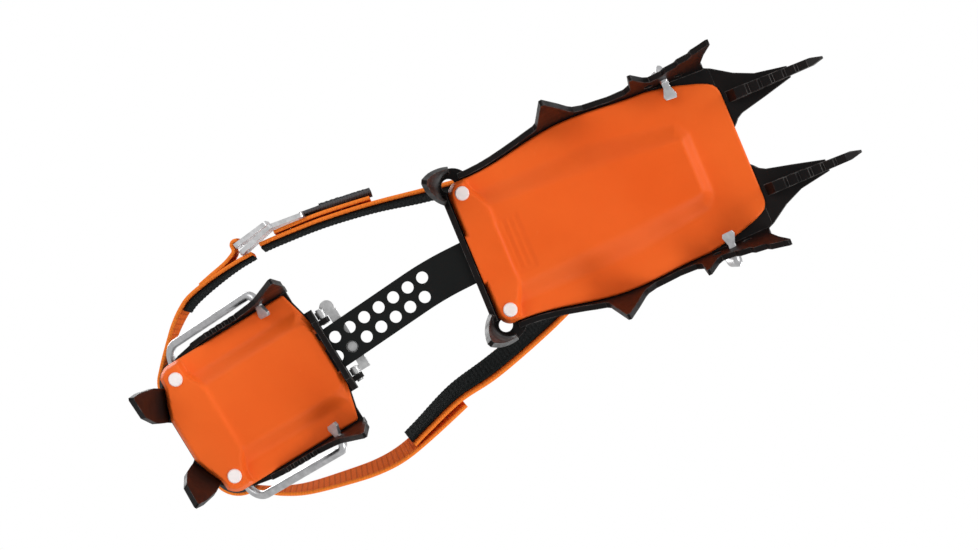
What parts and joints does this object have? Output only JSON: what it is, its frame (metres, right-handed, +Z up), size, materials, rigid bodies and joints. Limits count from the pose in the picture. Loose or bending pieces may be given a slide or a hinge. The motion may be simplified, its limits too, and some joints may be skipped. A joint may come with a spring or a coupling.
{
  "type": "crampon",
  "caption": "strap-on ice crampon for a right boot: toothed front and heel sections, anti-snow plates, drilled linking bar, wire bails, plastic cradles and ankle strap",
  "frame": {"origin": "on the boot-sole plane, on the long axis of the front section, 66 mm behind the front edge of its deck", "axes": "+Z up towards the boot, +Y towards the toe, +X to the wearer's right"},
  "size_m": [0.1321, 0.3463, 0.1166],
  "materials": {
    "painted_steel": "black paint over pressed steel, satin",
    "bar_black": "matt black",
    "orange_plastic": "satin orange plastic",
    "rivet_steel": "bright rivet heads",
    "bail_steel": "bare spring steel wire",
    "clip_steel": "bare steel strip",
    "dark_plastic": "dark grey flexible plastic",
    "orange_webbing": "ribbed orange polyester webbing",
    "black_webbing": "ribbed black lining",
    "buckle_steel": "bright pressed steel",
    "grey_webbing": "dark grey stitched tape"
  },
  "bodies": {
    "front_section": {"front_frame": "painted_steel", "front_antisnow_plate": "orange_plastic", "front_plate_rivets": "rivet_steel", "bar_pivot_rivet": "painted_steel", "strap_front": "orange_webbing", "strap_front_lining": "black_webbing", "strap_tail": "orange_webbing"},
    "toe_binding": {"toe_bail_wire": "bail_steel", "toe_cradle": "dark_plastic"},
    "bar": {"linking_bar": "bar_black"},
    "heel_section": {"heel_frame": "painted_steel", "heel_antisnow_plate": "orange_plastic", "heel_plate_rivets": "rivet_steel", "lock_clip_pins": "clip_steel", "strap_medial": "orange_webbing", "strap_lateral": "orange_webbing", "strap_lateral_lining": "black_webbing", "buckle_loop": "orange_webbing"},
    "length_lock": {"lock_clip": "clip_steel", "lock_stud": "clip_steel"},
    "heel_binding": {"heel_bail_wire": "bail_steel", "heel_cradle": "dark_plastic", "cradle_strap_rivets": "rivet_steel", "strap_anchors": "orange_webbing"},
    "buckle": {"buckle_outer_ring": "buckle_steel", "buckle_inner_ring": "buckle_steel", "pull_tab": "grey_webbing"}
  },
  "joints": [
    {"name": "toe_bail_swing", "type": "hinge", "parent": "front_section", "child": "toe_binding", "pos_m": [0, 0.0447, -0.0086], "axis": [1, 0, 0], "range_deg": [-30, 20], "deforming": ["strap_front", "strap_front_lining", "strap_tail"]},
    {"name": "bar_swing", "type": "hinge", "parent": "front_section", "child": "bar", "pos_m": [-0.0007, -0.057, -0.004], "axis": [0, 0, 1], "range_deg": [-2, 2]},
    {"name": "length_slide", "type": "slide", "parent": "bar", "child": "heel_section", "axis": [0.2045, 0.9789, 0], "range_m": [-0.032, 0.016]},
    {"name": "lock_lift", "type": "hinge", "parent": "heel_section", "child": "length_lock", "pos_m": [-0.01391, -0.13785, -0.0025], "axis": [0.9877, -0.1564, 0], "range_deg": [0, 95]},
    {"name": "heel_bail_swing", "type": "hinge", "parent": "heel_section", "child": "heel_binding", "pos_m": [-0.0173, -0.15928, -0.0086], "axis": [0.9877, -0.1564, 0], "range_deg": [-25, 25], "deforming": ["strap_medial", "strap_lateral", "strap_lateral_lining", "buckle_loop"]},
    {"name": "buckle_release", "type": "hinge", "parent": "heel_section", "child": "buckle", "pos_m": [0.04459, -0.16609, 0.058], "axis": [0, 0, 1], "range_deg": [-35, 0]}
  ]
}
